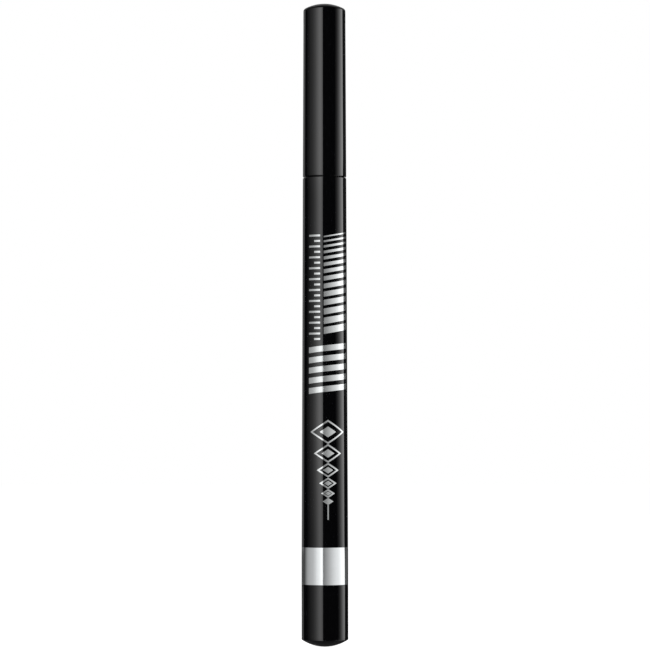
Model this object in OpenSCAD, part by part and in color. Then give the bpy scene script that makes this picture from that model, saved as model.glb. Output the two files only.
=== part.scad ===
// Liquid eyeliner pen: a free-ink brush pen whose cap carries a sprung sealing cup.
// Z runs up from the apex of the domed tail. The cap is on, and everything is turned about Z.

/* [Outside] */
// Diameter of the straight tail end
tail_d = 10.15; // [9.7:0.05:10.6]
// Diameter of barrel and cap where they meet
seam_d = 9.5; // [9.1:0.05:9.65]
// Diameter of the cap below its dome
crown_d = 9.2; // [8.7:0.05:9.3]
// Length of the barrel between its end faces
barrel_len = 99.95; // [90:0.05:112]
// Radius of the sphere that domes the tail
tail_dome_r = 9; // [7:0.1:14]
// Radius of the sphere that domes the cap
cap_dome_r = 9; // [7:0.1:16]
// Rounding of the tail's edge
tail_edge = 0.3; // [0.1:0.05:0.6]
// Rounding of the cap's upper edge
cap_edge = 0.65; // [0.2:0.05:0.8]
// Rounding of the barrel's front edge, one side of the groove at the seam
barrel_lip = 0.4; // [0.1:0.05:0.5]
// Rounding of the barrel's tail edge, where the plug meets it
tail_lip = 0.05; // [0.05:0.05:0.3]
// Rounding of the cap's mouth, the other side of the groove
cap_lip = 0.2; // [0.05:0.05:0.3]
// Gap between the cap's mouth and the barrel when the cap is home
shut_gap = 0.15; // [0.02:0.01:0.2]

/* [Band] */
// Height of the band's lower edge above the barrel's tail face
band_at = 11.55; // [9:0.05:16]
// Height of the band
band_h = 8.1; // [5:0.1:11]
// Depth of the recess that the band lies in
band_recess = 0.12; // [0.08:0.01:0.25]

/* [Tail plug] */
// Height of the plug's straight rim behind the barrel
plug_rim = 0.15; // [0.1:0.05:0.5]
// Length of the plug's stem inside the barrel
stem_len = 7.3; // [6:0.1:8.5]
// Depth of the hollow in the plug, from the tank side
plug_hollow_len = 5.5; // [4:0.1:6.5]
// Width of the plug's face between that hollow and a ball's resting point
ball_seat = 0.3; // [0.2:0.05:0.5]
// Wall of the barrel round the plug's stem
socket_wall = 1.1; // [0.9:0.05:1.3]
// Height of the snap rib over the plug's stem, and of its groove
snap_rib = 0.12; // [0.08:0.01:0.2]
// Width of the snap rib
snap_rib_w = 0.7; // [0.5:0.05:1]
// Depth of the relieved waists between the stem's sealing ribs
stem_relief = 0.2; // [0.1:0.05:0.3]

/* [Cap and neck] */
// Wall of the cap at its mouth
cap_wall = 0.78; // [0.7:0.02:0.9]
// Radial gap between the neck and the cap
neck_gap = 0.2; // [0.15:0.01:0.25]
// Step of the neck over the tank's bore
neck_step = 0.3; // [0.2:0.02:0.4]
// Length of the neck
neck_len = 7; // [6:0.1:8]
// Height of the snap bead in the cap, inward
cap_bead = 0.1; // [0.06:0.01:0.12]
// Width of both snap beads
bead_w = 0.8; // [0.6:0.05:1]
// Height of the cap's bead above its mouth
bead_at = 3.6; // [3:0.1:4]
// Step from the cap's lower bore to its upper bore
bore_step = 0.3; // [0.2:0.02:0.34]
// Height of the lower bore past the neck
bore_past = 1; // [0.8:0.1:1.4]
// Number of ribs in the cap that guide the sealing cup
guide_ribs = 6; // [4:1:8]
// Width of a guide rib
guide_rib_w = 0.5; // [0.4:0.05:0.8]
// Thickness of the cap's closed end at the axis
end_wall = 1.8; // [1.5:0.1:2.5]

/* [Nose] */
// Length of the part of the nose that plugs into the barrel
plug_in_len = 8; // [7:0.1:9]
// Length of the seat that the sealing cup closes on
seat_len = 3.2; // [2.8:0.1:3.6]
// Length of the taper in front of the seat
nose_len = 7.6; // [7:0.1:9]
// Step from the end of the taper to the nozzle
nozzle_step = 0.3; // [0.2:0.05:0.5]
// Length of the nozzle round the brush
nozzle_len = 2.7; // [2:0.1:3.5]
// Wall of the nozzle
nozzle_wall = 0.45; // [0.35:0.05:0.6]
// Length of the narrow bore that the brush's body passes through
nozzle_bore_len = 9.3; // [8.5:0.1:9.8]
// Number of air vents along the brush, inside the nozzle
vents = 3; // [2:1:4]
// Depth of an air vent
vent_depth = 0.2; // [0.1:0.02:0.24]
// Width of an air vent
vent_w = 0.35; // [0.25:0.05:0.5]
// Depth of the socket at the back of the nose
nose_socket_len = 3; // [2.5:0.1:3.5]
// Wall of the nose round that socket
nose_socket_wall = 0.95; // [0.7:0.05:1.1]
// Step from that socket to the air chamber inside the neck
chamber_step = 0.2; // [0.15:0.05:0.25]

/* [Brush and feed] */
// Diameter of the brush's body
brush_d = 1.96; // [1.8:0.02:2.1]
// Length of brush in front of the nozzle
brush_out = 7; // [6:0.1:8]
// Straight stretch of that length, before the taper
brush_straight = 0.9; // [0.5:0.1:2]
// Step from the brush's body to its fused root
root_step = 0.62; // [0.5:0.02:0.66]
// Thickness of the fused root
root_h = 1.4; // [1.1:0.1:1.8]
// Wall left round the root in the retainer's bore
retainer_step = 0.2; // [0.15:0.05:0.25]
// Length of the retainer behind the brush
retainer_len = 6.5; // [5.5:0.1:6.8]
// Depth of the air grooves along the retainer
groove_depth = 0.25; // [0.15:0.05:0.35]
// Width of the air grooves
groove_w = 0.5; // [0.3:0.05:0.8]
// Number of air grooves
grooves = 4; // [3:1:6]
// Diameter of the feed rod
rod_d = 1.4; // [1.2:0.05:1.5]
// Length of rod in the tank, behind the collector
rod_in_tank = 1.6; // [1:0.1:3]

/* [Collector] */
// Length of the collector without its spigot
collector_len = 24; // [20:0.5:28]
// Length of the collar that closes the tank
rear_collar_len = 2.2; // [1.6:0.1:3]
// Length of the collar against the nose
front_collar_len = 1.6; // [1.2:0.1:2.4]
// Thickness of one fin
fin_t = 0.35; // [0.25:0.05:0.5]
// Least gap between fins, which holds ink by capillarity
fin_gap = 0.5; // [0.35:0.05:0.7]
// How far the fins stay back from the collars' edge
fin_back = 0.15; // [0.1:0.05:0.3]
// Fins from one full-width divider to the next
divider_every = 6; // [4:1:8]
// Wall of the collector's core round the feed rod
core_wall = 0.95; // [0.7:0.05:1.1]
// Width of the ink slit
slit_w = 0.18; // [0.12:0.02:0.3]
// Width of the air notch opposite the slit
notch_w = 1.6; // [1:0.1:2]
// Length of the spigot in the nose's socket
spigot_len = 2; // [1.5:0.1:2.4]

/* [Mixing balls] */
// Gap between the two balls at rest
ball_gap = 0.2; // [0.1:0.02:0.24]
// Gap between a ball and the tank's bore
ball_side_gap = 0.3; // [0.2:0.02:0.5]

/* [Sealing cup and spring] */
// Stroke of the cup in the cap
cup_travel = 1.2; // [0.8:0.1:1.4]
// Wall of the cup
cup_wall = 0.45; // [0.35:0.05:0.55]
// Height of the sealing bead inside the cup's mouth
seal_bead = 0.07; // [0.04:0.01:0.1]
// Length of the sealing bead
seal_bead_w = 0.6; // [0.4:0.1:0.8]
// Thickness of the cup's flange
flange_t = 0.8; // [0.6:0.1:1.2]
// How far the flange overlaps the cap's retaining bead
retain_grip = 0.14; // [0.08:0.02:0.16]
// Width of the retaining bead
retain_w = 0.6; // [0.4:0.1:0.8]
// Gap round the brush in the hollow of the cup's spring boss
tip_side_gap = 0.07; // [0.05:0.01:0.15]
// Height of the spring boss over the flange
boss_h = 1.9; // [1.5:0.1:2.2]
// Thickness of the cup's closed end
cup_end = 0.8; // [0.6:0.1:1]
// Space between the brush tip and the cup's closed end
tip_gap = 0.6; // [0.4:0.1:0.9]
// Length of the spring's room with the cap on
spring_len = 9.35; // [7.5:0.05:12]
// Diameter of the spring's wire
wire_d = 0.35; // [0.3:0.01:0.4]
// Turns of the spring between its end turns
spring_turns = 5; // [4:1:6]
// Gap between an end turn and the next
end_turn_gap = 0.44; // [0.42:0.01:0.5]
// Height of the pin that centres the spring in the cap
spring_pin_h = 1.2; // [0.8:0.1:1.6]

/* [Fits] */
// Radial clearance of parts that stay put
fit = 0.03; // [0.02:0.005:0.04]
// Radial clearance of the snap and sealing beads
bead_run = 0.03; // [0.02:0.005:0.05]
// Radial clearance of the flange in the cap, and of the cup in its retaining bead
cup_run = 0.08; // [0.05:0.01:0.1]
// Clearance along the axis where a loose part rests
rest_gap = 0.05; // [0.03:0.01:0.1]
// Lead-in chamfer of bores and stems
lead = 0.25; // [0.15:0.05:0.3]

/* [Hidden] */
$fn = 96;

// Steps in an arc of an outline
arc_steps = 8;
// Steps in the brush's tapering outline
taper_steps = 14;
// Power that gives the brush its full belly and fine tip
taper_share = 1.7;
// Rings in a turn of the spring, and sides of its wire
ring_count = 16;
wire_sides = 8;
// Overrun of every cut
over = 0.4;

// Radii from the outside in
tail_r = tail_d / 2;
seam_r = seam_d / 2;
crown_r = crown_d / 2;
cap_bore_r = seam_r - cap_wall;
neck_r = cap_bore_r - neck_gap;
tank_r = neck_r - neck_step;
socket_r = tail_r - socket_wall;
upper_bore_r = cap_bore_r - bore_step;
flange_r = upper_bore_r - cup_run;
retain_r = flange_r - retain_grip;
cup_r = retain_r - cup_run;
cup_bore_r = cup_r - cup_wall;
seat_r = cup_bore_r - seal_bead - bead_run;
cap_bead_r = cap_bore_r - cap_bead;
neck_bead_r = cap_bead_r - bead_run;
brush_r = brush_d / 2;
nozzle_bore_r = brush_r + fit;
nozzle_r = nozzle_bore_r + nozzle_wall;
nose_tip_r = nozzle_r + nozzle_step;
root_r = brush_r + root_step;
retainer_r = root_r + retainer_step;
rod_r = rod_d / 2;
rod_bore_r = rod_r + fit;
collar_r = tank_r - fit;
nose_socket_r = collar_r - nose_socket_wall;
chamber_r = nose_socket_r - chamber_step;
core_r = rod_bore_r + core_wall;
ball_r = (tank_r - ball_side_gap - ball_gap / 2) / 2;
ball_x = ball_r + ball_gap / 2;
plug_hollow_r = ball_x - ball_seat;
tip_hollow_r = brush_r + tip_side_gap;
boss_r = tip_hollow_r + cup_end;
coil_r = boss_r + fit + cup_run + wire_d / 2;

// Heights from the tail up
tail_side_z = tail_dome_r - dome_rise(tail_r, tail_dome_r, tail_edge);
tail_z = tail_side_z + plug_rim;
band_z = tail_z + band_at;
band_top = band_z + band_h;
seam_z = tail_z + barrel_len;
stem_top = tail_z + stem_len;
ball_z = stem_top + rest_gap + ball_r;
mouth_z = seam_z + shut_gap;
plug_in_z = seam_z - plug_in_len;
comb_top = plug_in_z - front_collar_len;
collector_z = plug_in_z - collector_len;
comb_z = collector_z + rear_collar_len;
shoulder_z = seam_z + neck_len;
seat_top = shoulder_z + seat_len;
nose_top = seat_top + nose_len;
nozzle_top = nose_top + nozzle_len;
tip_z = nozzle_top + brush_out;
chamber_z = plug_in_z + nose_socket_len;
root_top = nozzle_top - nozzle_bore_len;
root_z = root_top - root_h;
retainer_z = root_z - retainer_len;
chamber_top = retainer_z - lead;
bead_z = mouth_z + bead_at;
cup_z = shoulder_z + cup_travel + 4 * rest_gap;
cup_hollow_top = tip_z + tip_gap;
cup_top = cup_hollow_top + cup_end;
flange_top = cup_top - boss_h;
flange_z = flange_top - flange_t;
retain_top = flange_z - cup_travel;
cap_end_z = flange_top + spring_len;
top_z = cap_end_z + end_wall;

// Fins as many as fit, spread evenly over the comb
fins = floor((comb_top - comb_z - fin_gap) / (fin_t + fin_gap));
fin_pitch = (comb_top - comb_z - fin_gap) / fins;
fin_r = collar_r - fin_back;

// Colours of the finishes
black = "#0b0b0d";
silver = "#c6c8cc";
steel = "#b9bcc1";
ivory = "#e9e6dc";
milky = "#dfe3e4";
fibre = "#2a2422";

// Height of the edge's centre over the centre of a dome of radius dome_r, on a rod of radius r
function dome_rise(r, dome_r, edge) = sqrt(pow(dome_r - edge, 2) - pow(r - edge, 2));

// Points of an arc about c, from angle a to angle b
function arc(c, r, a, b) =
  [for (i = [0:arc_steps]) let (t = a + (b - a) * i / arc_steps) c + r * [cos(t), sin(t)]];

// Outline over a rod's rounded edge and its dome, from the side at radius r to the axis at z
function crown(r, z, dome_r, edge, way) =
  let (
    rise = dome_rise(r, dome_r, edge),
    lean = atan2(r - edge, rise),
    round_edge = arc([r - edge, rise], edge, 0, 90 - lean),
    dome = arc([0, 0], dome_r, 90 - lean, 90)
  )
  [for (p = concat(round_edge, [for (i = [1:arc_steps]) dome[i]])) [p.x, z + way * (p.y - dome_r)]];

// Outer radius of the barrel at height z: straight up to the band, then a draft to the seam
function barrel_r(z) = z < band_z ? tail_r : tail_r + (seam_r - tail_r) * (z - band_z) / (seam_z - band_z);

// Outline of a rounded bead of height h on a wall of radius r, centred at z
function bead(r, z, h, w) =
  [for (i = [0:arc_steps]) let (t = 180 * i / arc_steps) [r + h * sin(t), z - w / 2 * cos(t)]];

// Radius of the brush at share t of its taper
function brush_taper(t) = brush_r * (1 - pow(t, taper_share));

// Radius of the collector's fin number i: every so many, one is a full-width divider
function comb_r(i) = i % divider_every == divider_every - 1 ? collar_r : fin_r;

// Slightly hollow taper of the nose, from radius a at the seat to radius b at the nozzle
function nose_taper(a, b) =
  [for (i = [1:arc_steps]) let (t = i / arc_steps) [b + (a - b) * pow(1 - t, taper_share), seat_top + nose_len * t]];

// The same outline from its other end
function reversed(p) = [for (i = [len(p) - 1:-1:0]) p[i]];

module barrel() {
  groove_z = tail_z + stem_len / 2;
  color(black)
    rotate_extrude()
      polygon(concat(
        [[socket_r + lead, tail_z], [tail_r - tail_lip, tail_z]],
        arc([tail_r - tail_lip, tail_z + tail_lip], tail_lip, -90, 0),
        [[tail_r, band_z], [tail_r - band_recess, band_z]],
        [[barrel_r(band_top) - band_recess, band_top], [barrel_r(band_top), band_top]],
        arc([seam_r - barrel_lip, seam_z - barrel_lip], barrel_lip, 0, 90),
        [[tank_r + lead / 2, seam_z], [tank_r, seam_z - lead / 2]],
        [[tank_r, stem_top + rest_gap], [socket_r, stem_top + rest_gap]],
        reversed(bead(socket_r, groove_z, snap_rib, snap_rib_w + 2 * fit)),
        [[socket_r, tail_z + lead]]
      ));
}

module silver_band() {
  color(silver)
    rotate_extrude()
      polygon([
        [tail_r - band_recess + fit / 2, band_z + fit / 2],
        [tail_r, band_z + fit / 2],
        [barrel_r(band_top), band_top - fit / 2],
        [barrel_r(band_top) - band_recess + fit / 2, band_top - fit / 2]
      ]);
}

module end_plug() {
  stem_r = socket_r - fit;
  waist_r = stem_r - stem_relief;
  rib_z = tail_z + stem_len / 2;
  rib_w = stem_len / 6;
  color(black)
    rotate_extrude()
      polygon(concat(
        reversed(crown(tail_r, 0, tail_dome_r, tail_edge, -1)),
        [[tail_r, tail_z], [waist_r, tail_z], [waist_r, tail_z + rib_w / 2]],
        [[stem_r, tail_z + rib_w / 2 + stem_relief]],
        bead(stem_r, rib_z, snap_rib, snap_rib_w),
        [[stem_r, rib_z + rib_w], [waist_r, rib_z + rib_w + stem_relief]],
        [[waist_r, stem_top - rib_w - stem_relief], [stem_r, stem_top - rib_w]],
        [[stem_r, stem_top - lead], [stem_r - lead, stem_top]],
        [[plug_hollow_r, stem_top], [plug_hollow_r, stem_top - plug_hollow_len + lead]],
        [[plug_hollow_r - lead, stem_top - plug_hollow_len], [0, stem_top - plug_hollow_len]]
      ));
}

module mixing_ball(side) {
  color(steel)
    translate([side * ball_x, 0, ball_z])
      sphere(ball_r);
}

module collector() {
  spigot_r = nose_socket_r - fit;
  spigot_top = plug_in_z + spigot_len;
  comb_edge = [for (i = [0:fins - 1]) let (z = comb_z + i * fin_pitch, r = comb_r(i))
    each [[core_r, z], [core_r, z + fin_gap], [r, z + fin_gap], [r, z + fin_pitch]]
  ];
  color(ivory)
    difference() {
      rotate_extrude()
        polygon(concat(
          [[rod_bore_r, collector_z], [collar_r - lead, collector_z], [collar_r, collector_z + lead]],
          [[collar_r, comb_z]],
          comb_edge,
          [[core_r, comb_top - fin_gap], [core_r, comb_top], [collar_r, comb_top]],
          [[collar_r, plug_in_z - lead], [collar_r - lead, plug_in_z]],
          [[spigot_r, plug_in_z], [spigot_r, spigot_top - lead], [spigot_r - lead, spigot_top]],
          [[rod_bore_r, spigot_top]]
        ));
      // Ink slit, from the tank to the spigot
      translate([-slit_w / 2, rod_r, collector_z - over])
        cube([slit_w, collar_r, collector_len + over]);
      // Air notch through the fins and the front collar, and on along the spigot
      translate([-notch_w / 2, -collar_r - over, comb_z])
        cube([notch_w, collar_r - core_r + over, spigot_top - comb_z + over]);
    }
}

module feed_rod() {
  rod_z = collector_z - rod_in_tank;
  tip = lead / 2;
  color(ivory)
    rotate_extrude()
      polygon([
        [0, rod_z], [rod_r - tip, rod_z], [rod_r, rod_z + tip],
        [rod_r, root_z - tip], [rod_r - tip, root_z], [0, root_z]
      ]);
}

module front_section() {
  retainer_bore_r = retainer_r + fit;
  rib = (plug_in_len - lead) / 5;
  waist_r = collar_r - fin_back;
  neck_bead_z = bead_z + bead_w + rest_gap;
  color(black)
    difference() {
      rotate_extrude()
        polygon(concat(
          [[nose_socket_r, plug_in_z], [collar_r - lead, plug_in_z], [collar_r, plug_in_z + lead]],
          [[collar_r, plug_in_z + rib], [waist_r, plug_in_z + rib + fin_back]],
          [[waist_r, plug_in_z + 2 * rib], [collar_r, plug_in_z + 2 * rib + fin_back]],
          [[collar_r, plug_in_z + 3 * rib], [waist_r, plug_in_z + 3 * rib + fin_back]],
          [[waist_r, plug_in_z + 4 * rib], [collar_r, plug_in_z + 4 * rib + fin_back]],
          [[collar_r, seam_z], [neck_r, seam_z]],
          bead(neck_r, neck_bead_z, neck_bead_r - neck_r, bead_w),
          arc([neck_r - lead, shoulder_z - lead], lead, 0, 90),
          [[seat_r, shoulder_z], [seat_r, seat_top - lead / 2], [seat_r - lead / 2, seat_top]],
          nose_taper(seat_r - lead / 2, nose_tip_r),
          [[nozzle_r, nose_top]],
          arc([nozzle_r - lead / 2, nozzle_top - lead / 2], lead / 2, 0, 90),
          [[nozzle_bore_r, nozzle_top], [nozzle_bore_r, root_top], [root_r + fit, root_top]],
          [[root_r + fit, root_z], [retainer_bore_r, root_z]],
          [[retainer_bore_r, chamber_top], [chamber_r, chamber_top - lead]],
          [[chamber_r, chamber_z], [nose_socket_r, chamber_z - lead]]
        ));
      // Air vents round the brush's root and on along its body to the nozzle's mouth
      for (i = [0:vents - 1])
        rotate(360 * i / vents) {
          translate([0, -vent_w / 2, root_z - over])
            cube([root_r + fit + vent_depth, vent_w, root_h + vent_depth + over]);
          translate([0, -vent_w / 2, root_z])
            cube([nozzle_bore_r + vent_depth, vent_w, nozzle_top - root_z + over]);
        }
    }
}

module brush_retainer() {
  color(milky)
    difference() {
      rotate_extrude()
        polygon([
          [rod_bore_r + lead, retainer_z], [retainer_r - lead, retainer_z],
          [retainer_r, retainer_z + lead], [retainer_r, root_z], [rod_bore_r, root_z],
          [rod_bore_r, retainer_z + lead]
        ]);
      for (i = [0:grooves - 1])
        rotate(360 * i / grooves)
          translate([retainer_r - groove_depth, -groove_w / 2, retainer_z - over])
            cube([groove_depth + over, groove_w, retainer_len + 2 * over]);
    }
}

module brush_tip() {
  taper_z = nozzle_top + brush_straight;
  taper_len = tip_z - taper_z;
  color(fibre)
    rotate_extrude()
      polygon(concat(
        [[0, root_z], [root_r, root_z], [root_r, root_top], [brush_r, root_top]],
        [for (i = [0:taper_steps]) let (t = i / taper_steps) [brush_taper(t), taper_z + taper_len * t]]
      ));
}

module cap_shell() {
  upper_z = shoulder_z + bore_past + bore_step;
  retain_z = retain_top - retain_w / 2;
  // Wall between the upper bore and the outside, into which the ribs run
  rib_root = (crown_r - upper_bore_r) / 2;
  color(black) {
    rotate_extrude()
      polygon(concat(
        [[cap_bore_r + lead, mouth_z], [seam_r - cap_lip, mouth_z]],
        arc([seam_r - cap_lip, mouth_z + cap_lip], cap_lip, -90, 0),
        crown(crown_r, top_z, cap_dome_r, cap_edge, 1),
        [[0, cap_end_z - spring_pin_h], [boss_r - lead, cap_end_z - spring_pin_h]],
        [[boss_r, cap_end_z - spring_pin_h + lead], [boss_r, cap_end_z]],
        [[upper_bore_r - lead, cap_end_z], [upper_bore_r, cap_end_z - lead]],
        reversed(bead(upper_bore_r, retain_z, retain_r - upper_bore_r, retain_w)),
        [[upper_bore_r, upper_z], [cap_bore_r, upper_z - bore_step]],
        reversed(bead(cap_bore_r, bead_z, -cap_bead, bead_w)),
        [[cap_bore_r, mouth_z + lead]]
      ));
    for (i = [0:guide_ribs - 1])
      rotate(360 * i / guide_ribs)
        translate([retain_r, -guide_rib_w / 2, upper_z + bore_step])
          cube([upper_bore_r - retain_r + rib_root, guide_rib_w, retain_z - upper_z - bore_step]);
  }
}

module inner_cap() {
  cone_h = cup_bore_r - tip_hollow_r;
  color(milky)
    rotate_extrude()
      polygon(concat(
        [[cup_bore_r + lead / 2, cup_z], [cup_r - lead / 2, cup_z], [cup_r, cup_z + lead / 2]],
        [[cup_r, flange_z], [flange_r - lead / 2, flange_z], [flange_r, flange_z + lead / 2]],
        [[flange_r, flange_top - lead / 2], [flange_r - lead / 2, flange_top]],
        [[boss_r, flange_top], [boss_r, cup_top - lead], [boss_r - lead, cup_top], [0, cup_top]],
        [[0, cup_hollow_top], [tip_hollow_r, cup_hollow_top]],
        [[tip_hollow_r, flange_z - lead], [cup_bore_r, flange_z - lead - cone_h]],
        reversed(bead(cup_bore_r, cup_z + seal_bead_w, -seal_bead, seal_bead_w)),
        [[cup_bore_r, cup_z + lead / 2]]
      ));
}

// Height of the wire's centre after a number of turns: close end turns, open turns between them
function coil_z(turn) =
  let (
    low = flange_top + rest_gap + wire_d / 2,
    high = cap_end_z - rest_gap - wire_d / 2,
    close = wire_d + end_turn_gap,
    open = (high - low - 2 * close) / spring_turns
  )
  turn < 1 ? low + close * turn
  : turn > spring_turns + 1 ? high - close * (spring_turns + 2 - turn)
  : low + close + open * (turn - 1);

// Points of one ring of the wire
function wire_ring(turn) =
  let (a = 360 * turn)
  [for (s = [0:wire_sides - 1]) let (b = 360 * s / wire_sides, r = coil_r + wire_d / 2 * cos(b))
    [r * cos(a), r * sin(a), coil_z(turn) + wire_d / 2 * sin(b)]];

module cap_spring() {
  rings = ring_count * (spring_turns + 2);
  points = [for (i = [0:rings]) each wire_ring(i / ring_count)];
  walls = [for (i = [0:rings - 1], s = [0:wire_sides - 1])
    let (a = i * wire_sides + s, b = i * wire_sides + (s + 1) % wire_sides)
    each [[a, b + wire_sides, b], [a, a + wire_sides, b + wire_sides]]];
  ends = [
    [for (s = [0:wire_sides - 1]) s],
    [for (s = [wire_sides - 1:-1:0]) rings * wire_sides + s]
  ];
  // The closest turns lie one above the other
  least_gap = min([for (i = [0:rings - ring_count])
    coil_z(i / ring_count + 1) - coil_z(i / ring_count) - wire_d]);
  echo(least_gap_of_spring = least_gap);
  color(steel)
    polyhedron(points, concat(walls, ends));
}

barrel();
silver_band();
end_plug();
mixing_ball(-1);  // mixing_ball_a
mixing_ball(1);  // mixing_ball_b
collector();
feed_rod();
front_section();
brush_retainer();
brush_tip();
cap_shell();
inner_cap();
cap_spring();
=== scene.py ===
import logging
import math
from dataclasses import dataclass, field
from enum import Enum
from functools import cache
from typing import Any

import bmesh
import bpy
import numpy as np
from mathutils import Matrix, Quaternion, Vector


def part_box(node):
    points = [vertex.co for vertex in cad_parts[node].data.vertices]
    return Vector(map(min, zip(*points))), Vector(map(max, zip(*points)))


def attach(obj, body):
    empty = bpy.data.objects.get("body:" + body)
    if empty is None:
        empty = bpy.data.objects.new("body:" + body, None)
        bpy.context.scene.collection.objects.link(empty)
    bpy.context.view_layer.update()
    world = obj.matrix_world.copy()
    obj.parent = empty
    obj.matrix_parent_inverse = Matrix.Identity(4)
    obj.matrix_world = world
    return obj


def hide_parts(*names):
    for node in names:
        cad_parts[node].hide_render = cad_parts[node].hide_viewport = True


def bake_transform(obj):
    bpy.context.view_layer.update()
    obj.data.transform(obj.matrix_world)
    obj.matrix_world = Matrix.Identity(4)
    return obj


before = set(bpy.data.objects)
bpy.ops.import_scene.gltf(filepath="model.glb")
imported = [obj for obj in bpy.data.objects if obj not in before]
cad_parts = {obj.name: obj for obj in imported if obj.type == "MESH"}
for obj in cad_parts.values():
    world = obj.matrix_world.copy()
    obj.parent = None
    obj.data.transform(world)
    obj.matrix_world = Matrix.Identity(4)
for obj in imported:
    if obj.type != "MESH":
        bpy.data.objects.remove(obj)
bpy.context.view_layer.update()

LOG = logging.getLogger("eyeliner_pen")

# Lengths below are in millimetres, and a mesh is scaled by this when it is written.
MM = 0.001
# Segments of a turned surface, fine enough for an even reflection along a glossy side
TURNS = 256
# Steps in a rounded edge's quarter circle
ARC_STEPS = 8
# Lead-in chamfer of every bore and stem, as in the solids
LEAD = 0.25
# Radial clearance of pieces that stay put, and clearance along the axis where a loose one rests
FIT = 0.03
REST_GAP = 0.05
# Radial play of the sealing cup in the cap, and how far its flange overlaps the cap's retaining bead
CUP_RUN = 0.08
RETAIN_GRIP = 0.14
# Walls of the cap at its mouth and of the sealing cup
CAP_WALL = 0.78
CUP_WALL = 0.45
# The sealing cup's flange and spring boss, and the radius of that boss and of the cap's spring pin
FLANGE_T = 0.8
BOSS_H = 1.9
SPRING_SEAT_R = 1.85
# Distances within which a point lies on a wall, points of a mesh become one, and points of an outline are one
ON_WALL = 1e-6
MERGE = 1e-4
SAME_POINT = 1e-9
# Angle in degrees past which an edge is shaded sharp
SHARP_EDGE = 32.0
# Range that Blender's noise mostly keeps to, and the detail of a finish's patches and of its grain
NOISE_RANGE = {"From Min": 0.3, "From Max": 0.7}
PATCH_DETAIL = 3.0
GRAIN_DETAIL = 2.0
# Share of its colour that a finish keeps in its hollows at full painted shade
PAINTED_SHADE_SHARE = 0.5
# Heights that the tall light cards reach down and up to, so that no view shows where they end
CARD_FOOT = -1500.0
CARD_HEAD = 900.0
# Columns of points in a light card, and points round a level disc
CARD_COLUMNS = 49
DISC_POINTS = 97


class Body(str, Enum):
    """Names of the moving bodies that the pieces ride on."""

    PEN = "pen"
    CAP = "cap"
    CUP = "sealing_cup"


def span(node: str) -> tuple[float, float, float]:
    """Read a node's place on the axis and its radius from the frame.

    Args:
        node: Name of the CAD node.

    Returns:
        Its lowest and highest point and its largest radius, in millimetres.
    """
    low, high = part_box(node)
    return low.z / MM, high.z / MM, max(high.x, high.y) / MM


def srgb(code: str) -> tuple[float, float, float, float]:
    """Turn a hex colour to linear RGBA.

    Args:
        code: Six hex digits of an sRGB colour, with a leading mark.

    Returns:
        Linear red, green, blue and an alpha of one.
    """
    parts = np.array([int(code[i:i + 2], 16) for i in (1, 3, 5)]) / 255
    linear = np.where(parts <= 0.04045, parts / 12.92, ((parts + 0.055) / 1.055) ** 2.4)
    return (*map(float, linear), 1.0)


def add_node(
    tree: bpy.types.NodeTree,
    kind: str,
    settings: dict[Any, Any] | None = None,
    links: dict[Any, bpy.types.NodeSocket] | None = None,
) -> bpy.types.Node:
    """Add a node, set it up and link it.

    Args:
        tree: Node tree that gets the node.
        kind: Blender's name of the node type.
        settings: Values by property name, or by socket name or number.
        links: Output sockets by the name or number of the input that they feed.

    Returns:
        The new node.
    """
    node = tree.nodes.new(kind)
    for key, value in (settings or {}).items():
        if isinstance(key, str) and hasattr(node, key):
            setattr(node, key, value)
        else:
            node.inputs[key].default_value = value
    for key, socket in (links or {}).items():
        tree.links.new(socket, node.inputs[key])
    return node


def new_material(name: str) -> tuple[bpy.types.Material, bpy.types.NodeTree]:
    """Make an empty node material.

    Args:
        name: Name of the material.

    Returns:
        The material and its cleared node tree.
    """
    material = bpy.data.materials.new(name)
    material.use_nodes = True
    material.node_tree.nodes.clear()
    return material, material.node_tree


def millimetre_coords(tree: bpy.types.NodeTree, stretch: tuple[float, float, float]) -> bpy.types.NodeSocket:
    """Give a pattern Object coordinates in millimetres.

    Args:
        tree: Node tree of the material.
        stretch: Factor along each axis, less than one to draw the pattern out along it.

    Returns:
        The scaled coordinates.
    """
    coords = add_node(tree, "ShaderNodeTexCoord")
    factors = tuple(s / MM for s in stretch)
    scale = add_node(tree, "ShaderNodeVectorMath", {"operation": "MULTIPLY", 1: factors},
                     {0: coords.outputs["Object"]})
    return scale.outputs["Vector"]


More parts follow.
